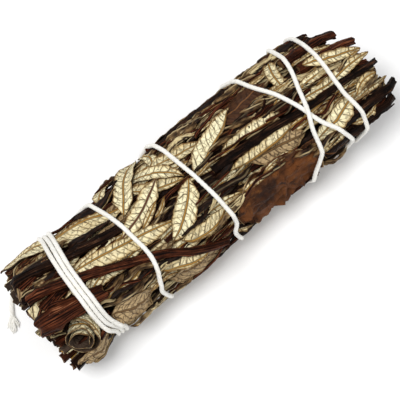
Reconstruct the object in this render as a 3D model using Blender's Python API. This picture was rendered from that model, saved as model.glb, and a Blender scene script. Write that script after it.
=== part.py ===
# A smudge stick: dried woody stems and felted leaves, bound with white cotton twine, lying down.
#
# Lengths are millimetres here and become metres when a mesh is made. The bundle lies along X.
# A place on it is x along the bundle and an angle around it in degrees, 0 on top and growing
# towards -Y, with r the distance from the bundle's middle line. The pieces are laid from the
# inside out: each one settles on what is already there and is then a part of what the next
# one settles on, so no two pieces cut into each other.

import math
import random

import bpy
import numpy as np

MM = 0.001

# The bundle
BODY_WIDTH = 32.0
BODY_HEIGHT = 29.4
FLOOR_DEPTH = 15.25
RIM_RADIUS = 15.5
UNDERSIDE_RADIUS = 16.08
SHIFT_X = 2.05
SHIFT_Y = -0.25
BOW = 2.0
BOW_MIDDLE = 1.2
SWELL = ((-58, 1.05), (-46, 1.06), (-36, 1.0), (-24, 0.98), (-12, 1.04), (0, 1.0), (38, 1.0),
         (46, 0.95), (58, 0.86))

# Room between touching pieces, and the least slope that a leaf needs to climb over an edge
GAP = 0.3
LEAF_SLOPE = 0.9
STEM_SLOPE = 0.16

# Stems and folded leaves inside
INNER_RADIUS = 2.6
INNER_RING = 3.15
INNER_COUNT = 3
ROLL_THICKNESS = 1.7
ROLL_WIDTH = 3.3
ROLL_RING = 7.6
ROLL_COUNT = 7
CORE_RADIUS = 9.4
INSIDE_START = -51.0
INSIDE_END = 48.5
INSIDE_SIDES = 8

# Leaves
LEAF_THICKNESS = 0.7
RIM_THICKNESS = 0.5
EDGE_FALL = 0.5
END_SWELL = 0.3
PAIR_WIDTH = 6.6
LEAF_LOFT = 3.0
UNDER_LOFT = 1.2
BACK_LOFT = 3.4
FLOOR_REACH = 15.4
TIED_FLOOR_REACH = 16.4

# Twine
TWINE_RADIUS = 0.7
TWINE_STEP = 4.4
TIE_X = -41.0
TIE_TURNS = 3
TIE_PITCH = 1.66
PINCH_WIDTH = 3.6
TWINE_DENSITY = 1.8
TWINE_SIDES = 6

SKIN_RADIUS = 13.6
ARC = 180.0 / (math.pi * SKIN_RADIUS)

GRID_X = 0.5
GRID_ANGLE = 2.0
GRID_START = -60.0
GRID_COLUMNS = 241
GRID_ROWS = 180

random.seed(7)


def sample_weights(parts):
    """Weights of the three corners at an even spread of points on a triangle."""
    rows = []
    for i in range(parts + 1):
        for j in range(parts + 1 - i):
            rows.append((i / parts, j / parts, (parts - i - j) / parts))
    return np.array(rows)


SPREAD = sample_weights(11)


def cartesian(x, deg, r):
    angle = np.radians(deg)
    return np.stack([x + 0 * r, -r * np.sin(angle), r * np.cos(angle)], -1)


def polar(points):
    deg = np.degrees(np.arctan2(-points[..., 1], points[..., 2]))
    return points[..., 0], deg, np.hypot(points[..., 1], points[..., 2])


def smooth_steps(value, stops):
    """A smooth curve through (position, height) stops."""
    places = np.array([s[0] for s in stops], float)
    heights = np.array([s[1] for s in stops], float)
    i = np.clip(np.searchsorted(places, value) - 1, 0, len(places) - 2)
    t = np.clip((value - places[i]) / (places[i + 1] - places[i]), 0, 1)
    t = t * t * (3 - 2 * t)
    return heights[i] * (1 - t) + heights[i + 1] * t


def curve_through(points, count):
    """count points, evenly spaced, on a smooth curve through the given ones."""
    p = np.array(points, float)
    p = np.vstack([2 * p[0] - p[1], p, 2 * p[-1] - p[-2]])
    fine = []
    for i in range(1, len(p) - 2):
        for t in np.linspace(0, 1, 30, endpoint=False):
            a = 2 * p[i]
            b = (p[i + 1] - p[i - 1]) * t
            c = (2 * p[i - 1] - 5 * p[i] + 4 * p[i + 1] - p[i + 2]) * t ** 2
            d = (3 * p[i] - p[i - 1] - 3 * p[i + 1] + p[i + 2]) * t ** 3
            fine.append((a + b + c + d) / 2)
    fine.append(p[-2])
    fine = np.array(fine)
    along = np.concatenate([[0], np.cumsum(np.linalg.norm(np.diff(fine, axis=0), axis=1))])
    even = np.linspace(0, along[-1], count)
    return np.stack([np.interp(even, along, fine[:, k]) for k in range(fine.shape[1])], -1)


def unrolled(route):
    """(x, degrees) points as (x, arc length) ones."""
    return np.array([(x, deg / ARC) for x, deg in route], float)


class Bundle:
    """How far from the middle line the pieces laid so far reach, over x and angle."""

    def __init__(self):
        self.r = np.full((GRID_COLUMNS, GRID_ROWS), CORE_RADIUS)
        self.wide = self.r.copy()

    def cell(self, x, deg):
        column = np.clip(np.rint((x - GRID_START) / GRID_X).astype(int), 0, GRID_COLUMNS - 1)
        return column, np.rint(deg / GRID_ANGLE).astype(int) % GRID_ROWS

    def reach(self, x, deg):
        return self.wide[self.cell(x, deg)]

    def lay(self, points, faces):
        """Add a piece, given its points (x, angle, r) and triangles."""
        corners = cartesian(*points.T)[faces]
        x, deg, r = polar(np.einsum("kb,mbc->mkc", SPREAD, corners))
        np.maximum.at(self.r, self.cell(x, deg), r)
        wide = self.r
        for step in (-1, 1):
            wide = np.maximum(wide, np.roll(self.r, step, axis=1))
        up = np.vstack([wide[1:], wide[-1:]])
        down = np.vstack([wide[:1], wide[:-1]])
        self.wide = np.maximum(wide, np.maximum(up, down))

    def settle(self, points, faces, groups):
        """Raise the points, a group at a time, until every face clears what is below it."""
        points = points.copy()
        for _ in range(80):
            corners = cartesian(*points.T)[faces]
            x, deg, r = polar(np.einsum("kb,mbc->mkc", SPREAD, corners))
            short = self.reach(x, deg) + GAP - r
            worst = short.argmax(axis=1)
            lack = short[np.arange(len(faces)), worst]
            if lack.max() < 0.02:
                break
            weights = SPREAD[worst]
            lift = np.maximum(lack, 0)[:, None] * weights / (weights ** 2).sum(1)[:, None]
            raised = np.zeros(groups.max() + 1)
            np.maximum.at(raised, groups[faces], lift)
            points[:, 2] += raised[groups]
        return points


def twine_turns():
    """The twine's route as (x, degrees) points; the angle only ever grows."""
    start = [(TIE_X - 2.6, 229), (TIE_X - 0.6, 246), (TIE_X + 1.6, 270)]
    for turn in range(TIE_TURNS):
        x = TIE_X + turn * TIE_PITCH
        base = 360 * turn
        start += [(x + 2.9, base + 296), (x + 0.2, base + 360), (x + 0.2, base + 405),
                  (x + 3.1, base + 450), (x + 3.4, base + 500), (x + 3.1, base + 570)]
    base = 360 * TIE_TURNS
    second = [(-30.5, base + 235), (-25.0, base + 290), (-22.7, base + 360), (-22.0, base + 390),
              (-23.6, base + 425), (-23.0, base + 455)]
    base += 360
    third = [(-14.0, base + 190), (-4.4, base + 290), (-2.6, base + 345), (-1.2, base + 390),
             (-0.4, base + 425), (-0.8, base + 455)]
    base += 360
    fourth = [(9.0, base + 190), (19.8, base + 280), (23.4, base + 330), (26.4, base + 360),
              (29.2, base + 390), (32.6, base + 412), (35.2, base + 450)]
    base += 360
    fifth = [(35.8, base + 180), (36.6, base + 220), (38.8, base + 255), (39.8, base + 290),
             (38.8, base + 350), (38.0, base + 380), (39.2, base + 410), (38.6, base + 455)]
    base += 360
    last = [(38.2, base + 180), (37.6, base + 215), (35.8, base + 250), (34.2, base + 285),
            (33.0, base + 330), (29.9, base + 362), (27.0, base + 390), (26.0, base + 420),
            (23.2, base + 450), (22.0, base + 472), (20.8, base + 494)]
    return start + second + third + fourth + fifth + last, base + 170


def pinch_lines():
    """For each turn, where it crosses the bundle, as (x, degrees) arrays over one turn."""
    route = curve_through(unrolled(twine_turns()[0]), 1400)
    return route[:, 0], route[:, 1] * ARC


TURN_X, TURN_ANGLE = pinch_lines()


def make_pinch_map():
    """How hard the twine presses at each cell of the grid, from 0 to 1."""
    free = np.ones((GRID_COLUMNS, GRID_ROWS))
    columns = GRID_START + GRID_X * np.arange(GRID_COLUMNS)
    for row in range(GRID_ROWS):
        deg = row * GRID_ANGLE
        turns = np.arange(0, 12)
        for angle in deg + 360 * turns:
            if TURN_ANGLE[0] <= angle <= TURN_ANGLE[-1]:
                x = np.interp(angle, TURN_ANGLE, TURN_X)
                free[:, row] *= 1 - np.exp(-((columns - x) / PINCH_WIDTH) ** 2)
    return 1 - free


PINCH = make_pinch_map()


def pinch(x, deg):
    column = np.clip(np.rint((x - GRID_START) / GRID_X).astype(int), 0, GRID_COLUMNS - 1)
    return PINCH[column, np.rint(deg / GRID_ANGLE).astype(int) % GRID_ROWS]


def in_world(points):
    """Points (x, angle, r) of the straight round bundle as metres on the real one."""
    x, deg, r = points.T
    swell = smooth_steps(x, SWELL)
    plain = cartesian(x, deg, r)
    wide = BODY_WIDTH / 2 / RIM_RADIUS
    high = BODY_HEIGHT / 2 / RIM_RADIUS
    y = plain[:, 1] * swell * wide + BOW_MIDDLE - BOW * (x / 52.0) ** 2
    z = plain[:, 2] * swell * high
    below = np.maximum(-np.cos(np.radians(deg)), 1e-6)
    depth = UNDERSIDE_RADIUS * swell * high * below
    z = z * np.minimum(1, FLOOR_DEPTH / np.maximum(depth, 1e-6)) + FLOOR_DEPTH
    return np.stack([x + SHIFT_X, y + SHIFT_Y, np.maximum(z, 0)], -1) * MM


def plain_material(name, colour, roughness):
    material = bpy.data.materials.new(name)
    material.use_nodes = True
    shader = material.node_tree.nodes["Principled BSDF"]
    shader.inputs["Base Color"].default_value = (*colour, 1)
    shader.inputs["Roughness"].default_value = roughness
    material.diffuse_color = (*colour, 1)
    return material


FINISHES = {
    "pale": ((0.62, 0.54, 0.32), 0.85),
    "dark": ((0.06, 0.035, 0.025), 0.5),
    "brown": ((0.17, 0.07, 0.03), 0.55),
    "olive": ((0.3, 0.22, 0.11), 0.7),
    "bark": ((0.09, 0.03, 0.022), 0.5),
    "cotton": ((0.85, 0.83, 0.78), 0.9),
}


def add_mesh(name, points, faces, finish):
    """Make the named object from world points and its faces."""
    mesh = bpy.data.meshes.new(name)
    mesh.from_pydata([tuple(p) for p in points], [], [tuple(int(i) for i in f) for f in faces])
    mesh.validate()
    mesh.shade_smooth()
    mesh.set_sharp_from_angle(angle=math.radians(50))
    mesh.materials.append(plain_material(name + "_finish", *FINISHES[finish]))
    piece = bpy.data.objects.new(name, mesh)
    bpy.context.scene.collection.objects.link(piece)
    return piece


def triangles(quads):
    quads = np.array(quads)
    return np.vstack([quads[:, [0, 1, 2]], quads[:, [0, 2, 3]]])


def loft_faces(stations, sides):
    """Quads of a tube of rings, and its two end caps as fans."""
    quads = []
    for i in range(stations - 1):
        for j in range(sides):
            k = (j + 1) % sides
            quads.append((i * sides + j, i * sides + k, (i + 1) * sides + k, (i + 1) * sides + j))
    last = (stations - 1) * sides
    caps = [(0, j + 1, j) for j in range(1, sides - 1)]
    caps += [(last, last + j, last + j + 1) for j in range(1, sides - 1)]
    return np.vstack([triangles(quads), caps])


def tube_points(route, radii, centre_r, sides, flat=1.0):
    """Ring points (x, angle, r) of a tube on an (x, arc) route."""
    heading = np.gradient(route, axis=0)
    heading /= np.linalg.norm(heading, axis=1)[:, None]
    rows = []
    for i, (x, arc) in enumerate(route):
        across = np.array([-heading[i, 1], heading[i, 0]])
        for j in range(sides):
            turn = 2 * math.pi * (j + 0.5) / sides
            side = radii[i] * math.cos(turn)
            up = radii[i] * flat * math.sin(turn)
            deg = (arc + side * across[1]) * ARC
            rows.append((x + side * across[0], deg, centre_r[i] + up))
    return np.array(rows)


def even_out(r, spacing, slope):
    """Lift low stations so that the height changes no faster than the slope."""
    r = r.copy()
    for i in range(1, len(r)):
        r[i] = max(r[i], r[i - 1] - slope * spacing[i - 1])
    for i in range(len(r) - 2, -1, -1):
        r[i] = max(r[i], r[i + 1] - slope * spacing[i])
    return r


def lay_stem(bundle, name, route, radius, finish, sides=8, step=6.0, flat=1.0, taper=0.85):
    """A stem on the outside of the bundle, with cut ends."""
    route = unrolled(route)
    length = np.linalg.norm(np.diff(route, axis=0), axis=1).sum()
    count = max(4, round(length / step) + 1)
    route = curve_through(route, count)
    t = np.linspace(0, 1, count)
    radii = radius * (1 + (taper - 1) * t)
    faces = loft_faces(count, sides)
    groups = np.repeat(np.arange(count), sides)
    centre = np.full(count, CORE_RADIUS + radius * flat)
    points = bundle.settle(tube_points(route, radii, centre, sides, flat), faces, groups)
    lift = points[::sides, 2] - tube_points(route, radii, centre, sides, flat)[::sides, 2]
    centre = even_out(centre + lift, np.full(count, length / (count - 1)), STEM_SLOPE)
    points = tube_points(route, radii, centre, sides, flat)
    bundle.lay(points, faces)
    add_mesh(name, in_world(points), faces[:, ::-1], finish)


def leaf_width(t, tip, stalk):
    """How wide a lance-shaped leaf is along its length, 1 at its widest."""
    body = np.sin(np.pi * (0.06 + 0.88 * t)) ** 0.5
    ends = smooth_steps(t, ((0, stalk), (0.2, 1), (0.8, 1), (1, tip)))
    return np.maximum(body * ends, 0.16)


def close_at_twine(route, step):
    """Stations on a leaf's route, closer together where the twine presses it in."""
    route = curve_through(route, 200)
    length = np.linalg.norm(np.diff(route, axis=0), axis=1)
    along = np.concatenate([[0], np.cumsum(length)])
    middle = (route[1:] + route[:-1]) / 2
    weight = 1 + TWINE_DENSITY * pinch(middle[:, 0], middle[:, 1] * ARC)
    effort = np.concatenate([[0], np.cumsum(length * weight)])
    count = max(4, round(effort[-1] / step) + 1)
    place = np.interp(np.linspace(0, effort[-1], count), effort, along)
    stations = np.stack([np.interp(place, along, route[:, k]) for k in (0, 1)], -1)
    return stations, place / along[-1], np.diff(place)


def lay_leaf(bundle, name, route, width, finish, loft=LEAF_LOFT, tip=0.45, stalk=0.45,
             step=6.0, thickness=LEAF_THICKNESS):
    """A leaf draped over what is below it, a lance-shaped slab with a thicker midrib."""
    route, t, spacing = close_at_twine(unrolled(route), step)
    count = len(route)
    half = width / 2 * leaf_width(t, tip, stalk)
    columns = 2 * math.ceil(width / PAIR_WIDTH)
    across = np.linspace(-1, 1, columns + 1)
    heading = np.gradient(route, axis=0)
    heading /= np.linalg.norm(heading, axis=1)[:, None]
    normal = np.stack([-heading[:, 1], heading[:, 0]], -1)
    place = route[:, None, :] + across[None, :, None] * (half[:, None] * normal)[:, None, :]
    x = place[..., 0].ravel()
    deg = place[..., 1].ravel() * ARC
    quads = []
    row = columns + 1
    for i in range(count - 1):
        for j in range(columns):
            a = i * row + j
            quads.append((a, a + 1, a + row + 1, a + row))
    under = triangles(quads)
    arch = np.sqrt(np.clip(np.sin(np.pi * t), 0, 1))
    swelling = loft * np.repeat(END_SWELL + (1 - END_SWELL) * arch, row)
    swelling *= 1 - EDGE_FALL * np.tile(across ** 2, count)
    r = CORE_RADIUS + GAP + swelling * (1 - pinch(x, deg))
    r = np.maximum(r, bundle.reach(x, deg) + GAP).reshape(count, row)
    for j in range(row):
        r[:, j] = even_out(r[:, j], spacing, LEAF_SLOPE)
    low = np.stack([x, deg, r.ravel()], -1)
    low = bundle.settle(low, under, np.arange(len(low)))
    thick = RIM_THICKNESS + (thickness - RIM_THICKNESS) * (1 - across ** 2)
    high = low + np.stack([0 * x, 0 * x, np.tile(thick, count)], -1)
    points = np.vstack([low, high])
    over = under[:, ::-1] + len(low)
    rim = list(range(row)) + [i * row + row - 1 for i in range(1, count)]
    rim += list(range(count * row - 2, (count - 1) * row - 1, -1))
    rim += [i * row for i in range(count - 2, 0, -1)]
    walls = []
    for a, b in zip(rim, rim[1:] + rim[:1]):
        walls.append((b, a, a + len(low), b + len(low)))
    faces = np.vstack([under, over, triangles(walls)])
    bundle.lay(points, over)
    add_mesh(name, in_world(points), faces[:, ::-1], finish)


def lay_inside():
    """The stems in the middle and the folded leaves around them, which hold nothing up."""
    def tube(name, deg, ring, radius, flat, finish, twist):
        start = INSIDE_START + random.uniform(-1.6, 1.6)
        end = INSIDE_END + random.uniform(-3.0, 2.6)
        points = []
        for x in np.linspace(start, end, 5):
            size = radius * (1 - 0.05 * math.cos(x / 9.0 + deg))
            middle = math.radians(deg + twist * x / 50)
            for j in range(INSIDE_SIDES):
                turn = 2 * math.pi * (j + 0.5) / INSIDE_SIDES
                side = size * math.cos(turn)
                up = ring + size * flat * math.sin(turn)
                angle = middle + math.atan2(side, up)
                points.append((x, math.degrees(angle), math.hypot(side, up)))
        faces = loft_faces(5, INSIDE_SIDES)[:, ::-1]
        add_mesh(name, in_world(np.array(points)), faces, finish)

    for i in range(INNER_COUNT):
        tube(f"stem_{i + 1:02d}", 360 / INNER_COUNT * i, INNER_RING, INNER_RADIUS, 1, "bark", 6)
    for i in range(ROLL_COUNT):
        flat = ROLL_THICKNESS / ROLL_WIDTH
        deg = 360 / ROLL_COUNT * (i + 0.35)
        tube(f"folded_leaf_{i + 1:02d}", deg, ROLL_RING, ROLL_WIDTH, flat, "dark", -5)


# The stems on the outside: name, route from the tied end, radius, finish
OUTER_STEMS = (
    ("dark_stem_01", ((-50.5, -40), (-44, -31), (-38, -23), (-30, -14), (-22, -6)), 1.3, "dark"),
    ("dark_stem_02", ((-52.5, 11), (-47.5, 15), (-42, 19), (-35.5, 26)), 1.6, "bark"),
    ("dark_stem_03", ((2, 8), (10, 9.5), (20, 12), (30, 16), (40, 16), (50, 18)), 1.4, "dark"),
    ("rolled_leaf", ((-48.5, 43), (-43, 47), (-38, 51), (-34, 54)), 1.7, "dark"),
    ("red_stem", ((-50.5, -12), (-45.5, -7), (-38, 2), (-31, 12), (-19.5, 27.5), (-11, 45),
                  (-2.8, 62)), 1.05, "bark"),
    ("tip_stem_01", ((32, -33), (40.5, -31), (47, -34)), 1.35, "bark"),
    ("tip_stem_02", ((34, -18), (41, -14), (49.5, -8)), 1.3, "bark"),
    ("tip_stem_03", ((33, 48), (40, 49), (51.5, 53)), 1.5, "dark"),
    ("tip_stem_04", ((34, 66), (41, 68), (49.5, 72)), 1.3, "dark"),
)

# Leaves on the side that the picture shows: name, route, width, finish
FRONT_LEAVES = (
    ("dark_leaf_01", ((-4, -66), (6, -60), (16, -58), (27, -62)), 8.5, "dark"),
    ("dark_leaf_02", ((6, -16), (15, -12), (25, -12)), 7.0, "dark"),
    ("brown_leaf_01", ((11, -24), (18, -28), (26, -34)), 6.0, "brown"),
    ("netted_leaf_01", ((-37, 58), (-31, 68), (-24, 74)), 7.5, "olive"),
    ("netted_leaf_02", ((-21, 76), (-13, 82), (-4, 78)), 9.0, "olive"),
    ("netted_leaf_03", ((10, 22), (18, 28), (26, 36)), 5.5, "olive"),
    ("broad_brown_leaf", ((0.5, 58), (8, 64), (17, 69), (27, 70)), 17.5, "brown"),
    ("pale_leaf_01", ((-50, -68), (-44, -63), (-39, -56), (-34, -50)), 6.5, "pale"),
    ("pale_leaf_02", ((-37.5, -48), (-30, -37), (-24, -29), (-19.5, -22)), 6.5, "pale"),
    ("pale_leaf_03", ((-38.5, -5), (-31, 3), (-24, 10), (-16, 17.5), (-12, 21)), 4.6, "pale"),
    ("pale_leaf_04", ((-12, -84), (-19, -76), (-23.5, -58)), 5.0, "pale"),
    ("pale_leaf_05", ((-7.5, -70), (-6, -52), (-7.5, -36)), 4.0, "pale"),
    ("pale_leaf_06", ((-9, -36), (-4, -31), (1, -27), (5, -23)), 5.0, "pale"),
    ("pale_leaf_07", ((-20.5, -15), (-18.5, -25), (-14.5, -46), (-9, -72)), 5.8, "pale"),
    ("pale_leaf_08", ((-16, -33), (-12.5, -18), (-7, -9), (-4.2, -4)), 3.4, "pale"),
    ("pale_leaf_09", ((-15, -47), (-10, -29), (-5.5, -15), (-3.4, -7)), 4.4, "pale"),
    ("pale_leaf_10", ((-1.6, -3), (3.5, -13), (9, -21), (15.5, -32)), 4.6, "pale"),
    ("pale_leaf_11", ((-9.5, -17), (-16.5, -6), (-21, -1), (-24.5, 2)), 5.4, "pale"),
    ("pale_leaf_12", ((-3.4, -1), (-6.5, 12.5), (-11, 25), (-15.8, 35)), 6.0, "pale"),
    ("pale_leaf_13", ((-14, 38), (-6.5, 46), (-0.5, 44)), 4.2, "pale"),
    ("pale_leaf_14", ((-5, -76), (3, -74), (11, -76)), 5.0, "pale"),
    ("pale_leaf_15", ((7, -3), (17, 0), (25.5, 4)), 2.6, "pale"),
    ("pale_leaf_16", ((29, 6), (33, 8), (37, 10), (43, 7), (50, 5)), 3.2, "pale"),
    ("pale_leaf_17", ((26, 52), (31, 44), (35, 38), (41, 31)), 5.6, "pale"),
    ("pale_leaf_18", ((31, -54), (29, -33), (28, -12)), 4.0, "pale"),
    ("pale_leaf_19", ((5, 18), (15, 19), (25, 19)), 2.8, "pale"),
    ("pale_leaf_20", ((36, -16), (42, -8), (49, -2)), 3.8, "pale"),
    ("pale_leaf_21", ((-22, 51), (-16, 57), (-9, 63)), 3.6, "pale"),
)

# Leaves on the side and the back that the picture hides: x range, angle, lean, width, finish
BACK_LEAVES = (
    ("back_leaf_01", (-50, -26), 84, 5, 9.0, "olive"),
    ("back_leaf_02", (-51, -9), 119, 8, 9.0, "dark"),
    ("back_leaf_03", (-50, -4), 160, -7, 9.5, "pale"),
    ("back_leaf_04", (-51, -10), 197, 6, 10.0, "brown"),
    ("back_leaf_05", (-49, -5), 229, 7, 9.5, "pale"),
    ("back_leaf_06", (-50, -8), 264, -7, 9.5, "dark"),
    ("back_leaf_07", (27, 44), 84, 6, 9.5, "dark"),
    ("back_leaf_08", (-16, 45), 120, -8, 9.5, "olive"),
    ("back_leaf_09", (-11, 43), 161, 6, 9.5, "dark"),
    ("back_leaf_10", (-17, 44), 198, -6, 9.5, "pale"),
    ("back_leaf_11", (-12, 45), 231, 6, 9.5, "dark"),
    ("back_leaf_12", (-14, 42), 266, -6, 9.5, "olive"),
)


def lay_outside(bundle):
    for name, (start, end), deg, lean, width, finish in BACK_LEAVES:
        route = ((start, deg - lean), ((start + end) / 2, deg + lean * 0.3), (end, deg + lean))
        loft = BACK_LOFT
        if abs(deg - 180) < 30:
            # Swollen until its middle lies on the floor
            reach = TIED_FLOOR_REACH if start < TIE_X else FLOOR_REACH
            loft = reach / -math.cos(math.radians(deg)) - CORE_RADIUS - LEAF_THICKNESS
        lay_leaf(bundle, name, route, width, finish, loft)
    for name, route, radius, finish in OUTER_STEMS:
        lay_stem(bundle, name, route, radius, finish)
    for name, route, width, finish in FRONT_LEAVES:
        loft = LEAF_LOFT if finish == "pale" else UNDER_LOFT
        lay_leaf(bundle, name, route, width, finish, loft)


def taut(route, r, turns):
    """Pull the twine straight between the bumps that it runs over."""
    for _ in range(turns):
        points = cartesian(route[:, 0], route[:, 1] * ARC, r)
        middle = (points[:-2] + points[2:]) / 2
        r[1:-1] = np.maximum(r[1:-1], np.hypot(middle[:, 1], middle[:, 2]))
    return r


def lay_twine(bundle):
    """The twine, one length: a loose end, the tie, the turns up and back, and a last knot."""
    turns, crossing_start = twine_turns()
    route = unrolled(turns)
    length = np.linalg.norm(np.diff(route, axis=0), axis=1).sum()
    count = round(length / TWINE_STEP)
    route = curve_through(route, count)
    radii = np.full(count, TWINE_RADIUS)
    split = int(np.searchsorted(route[:, 1] * ARC, crossing_start))
    centre = np.full(count, CORE_RADIUS + TWINE_RADIUS)

    def settle(first, last):
        part = slice(first, last)
        faces = loft_faces(last - first, TWINE_SIDES)
        groups = np.repeat(np.arange(last - first), TWINE_SIDES)
        laid = tube_points(route[part], radii[part], centre[part], TWINE_SIDES)
        settled = bundle.settle(laid, faces, groups)
        lift = settled[::TWINE_SIDES, 2] - laid[::TWINE_SIDES, 2]
        centre[part] = taut(route[part], centre[part] + lift, 60)

    # The last turn crosses over the one before it, so that one is laid before the last settles
    settle(0, split)
    lower = slice(int(split * 0.6), split - 8)
    laid = tube_points(route[lower], radii[lower], centre[lower], TWINE_SIDES)
    bundle.lay(laid, loft_faces(lower.stop - lower.start, TWINE_SIDES))
    settle(split, count)
    path = in_world(np.stack([route[:, 0], route[:, 1] * ARC, centre], -1))
    return path


def add_twine(path):
    """A round tube along the twine's whole route, thicker at its frayed end and its knot."""
    loose = np.array(((-55.2, 7.2, 1.25), (-53.8, 8.8, 1.25), (-52.2, 10.8, 0.9),
                      (-50.2, 13.4, 0.75), (-48.2, 15.2, 0.9), (-46.2, 15.0, 2.3)))
    loose += (SHIFT_X, SHIFT_Y, 0)
    loose = curve_through(np.vstack([loose * MM, path[0]]), 10)[:-1]
    path = np.vstack([loose, path])
    path[:, 2] = np.maximum(path[:, 2], TWINE_RADIUS * MM)
    curve = bpy.data.curves.new("twine", "CURVE")
    curve.dimensions = "3D"
    curve.bevel_depth = TWINE_RADIUS * MM
    curve.bevel_resolution = 1
    curve.use_fill_caps = True
    line = curve.splines.new("POLY")
    line.points.add(len(path) - 1)
    for point, place in zip(line.points, path):
        point.co = (*place, 1)
    for i, size in enumerate((1.0, 1.75, 1.6, 1.05)):
        line.points[i].radius = size
    for i, size in enumerate((1.5, 2.0, 1.6)):
        line.points[-1 - i].radius = size
    twine = bpy.data.objects.new("twine", curve)
    curve.materials.append(plain_material("twine_finish", *FINISHES["cotton"]))
    bpy.context.scene.collection.objects.link(twine)


def build():
    for old in list(bpy.data.objects):
        bpy.data.objects.remove(old, do_unlink=True)
    bundle = Bundle()
    lay_inside()
    lay_outside(bundle)
    add_twine(lay_twine(bundle))


build()
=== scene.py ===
# Looks of a smudge stick: dried stems and felted leaves bound with white cotton twine.
# Lengths are millimetres until inWorld turns them into metres. A place on the bundle is x along
# it, an angle around it in degrees (0 on top, growing towards -Y) and r from its middle line.

import math

import bpy
import numpy as np
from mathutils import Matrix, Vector


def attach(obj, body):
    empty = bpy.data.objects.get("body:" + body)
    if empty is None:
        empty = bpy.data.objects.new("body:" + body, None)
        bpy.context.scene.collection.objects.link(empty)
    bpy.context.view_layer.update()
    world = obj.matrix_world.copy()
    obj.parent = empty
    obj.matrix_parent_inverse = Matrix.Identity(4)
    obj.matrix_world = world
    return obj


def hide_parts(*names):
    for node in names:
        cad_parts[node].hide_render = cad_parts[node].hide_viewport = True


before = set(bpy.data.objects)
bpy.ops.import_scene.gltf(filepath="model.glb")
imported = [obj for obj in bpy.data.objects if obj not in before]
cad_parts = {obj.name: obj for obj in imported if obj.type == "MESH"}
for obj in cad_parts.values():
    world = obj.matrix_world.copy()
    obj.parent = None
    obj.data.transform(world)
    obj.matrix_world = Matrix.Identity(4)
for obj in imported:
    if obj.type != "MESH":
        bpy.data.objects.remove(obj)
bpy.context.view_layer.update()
bpy.ops.object.select_all(action="DESELECT")
print("frame loaded")

mm = 0.001

body = {"width": 32.0, "height": 29.4, "floorDepth": 15.25, "rimRadius": 15.5,
        "undersideRadius": 16.08, "shiftX": 2.05, "shiftY": -0.25, "bow": 2.0, "bowMiddle": 1.2,
        "coreRadius": 9.4, "skinRadius": 13.6,
        "swell": ((-58, 1.05), (-46, 1.06), (-36, 1.0), (-24, 0.98), (-12, 1.04), (0, 1.0),
                  (38, 1.0), (46, 0.95), (58, 0.86))}
degPerMm = 180.0 / (math.pi * body["skinRadius"])

chance = np.random.default_rng(11)


def anyOf(words):
    words = words.split()
    return words[int(chance.integers(len(words)))]


# Places on the bundle

def smooth(value, low, high):
    t = np.clip((value - low) / (high - low), 0, 1)
    return t * t * (3 - 2 * t)


def smoothSteps(value, stops):
    places, heights = np.array(stops, float).T
    i = np.clip(np.searchsorted(places, value) - 1, 0, len(places) - 2)
    t = smooth(value, places[i], places[i + 1])
    return heights[i] * (1 - t) + heights[i + 1] * t


def unit(vectors):
    return vectors / np.linalg.norm(vectors, axis=-1)[..., None]


def steps(line):
    return np.linalg.norm(np.diff(line, axis=0), axis=1)


def passed(line):
    return np.concatenate([[0], np.cumsum(steps(line))])


def evenly(line, count):
    # count points at equal steps along a fine line
    along = passed(line)
    even = np.linspace(0, along[-1], count)
    return np.stack([np.interp(even, along, line[:, k]) for k in range(line.shape[1])], -1)


def curveThrough(points, count):
    # count points, evenly spaced, on a smooth curve through the given ones
    p = np.array(points, float)
    p = np.vstack([2 * p[0] - p[1], p, 2 * p[-1] - p[-2]])
    t = np.linspace(0, 1, 30, endpoint=False)[None, :, None]
    a, b, c, d = (p[k:len(p) - 3 + k, None] for k in range(4))
    fine = 2 * b + (c - a) * t + (2 * a - 5 * b + 4 * c - d) * t ** 2 + (3 * b - a - 3 * c + d) * t ** 3
    return evenly(np.vstack([fine.reshape(-1, p.shape[1]) / 2, p[-2:-1]]), count)


def anglesOf(count, closed=0):
    # angles around a ring, in one row
    return 2 * math.pi * np.arange(count + closed)[None] / count


def aroundAxis(size, turn, first, second):
    # how far points at these distances and angles lie from an axis square to two directions
    return (size * np.cos(turn))[..., None] * first + (size * np.sin(turn))[..., None] * second


def unrolled(route):
    return np.array([(x, deg / degPerMm) for x, deg in route], float)


def sideways(route):
    # the way across an unrolled route, at each of its points
    heading = unit(np.gradient(route, axis=0))
    return np.stack([-heading[:, 1], heading[:, 0]], -1)


def stations(route, step, detail=1.0):
    # the route in even steps, the way across it, its length, and the share of it passed, as a column
    length = steps(route).sum()
    route = evenly(route, max(8, round(length * detail / step)))
    return route, sideways(route), length, np.linspace(0, 1, len(route))[:, None]


def beside(route, normal, side):
    # x and angle of the points that lie so far to the side of a route
    return route[:, :1] + side * normal[:, :1], (route[:, 1:] + side * normal[:, 1:]) * degPerMm


def inWorld(x, deg, r):
    # metres on the real bundle, which is bowed, swollen and a little flat underneath
    angle = np.radians(deg)
    swell = smoothSteps(x, body["swell"])
    wide = body["width"] / 2 / body["rimRadius"]
    high = body["height"] / 2 / body["rimRadius"]
    y = -r * np.sin(angle) * swell * wide + body["bowMiddle"] - body["bow"] * (x / 52.0) ** 2
    z = r * np.cos(angle) * swell * high
    depth = body["undersideRadius"] * swell * high * np.maximum(-np.cos(angle), 1e-6)
    z = z * np.minimum(1, body["floorDepth"] / np.maximum(depth, 1e-6)) + body["floorDepth"]
    return np.stack([x + body["shiftX"], y + body["shiftY"], np.maximum(z, 0)], -1) * mm


def unevenCut(deg):
    # how far the cut stands out in some places around the bundle
    turn = np.radians(deg)
    return 0.6 * np.sin(4 * turn + 1) + 0.5 * np.sin(9 * turn) + 0.3 * np.sin(17 * turn + 2)


def startAt(deg):
    # where the slanting cut at the tied end crosses the bundle's skin
    return -52.0 + 1.6 * (1 - np.cos(np.radians(deg - 5))) - unevenCut(deg)


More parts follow.
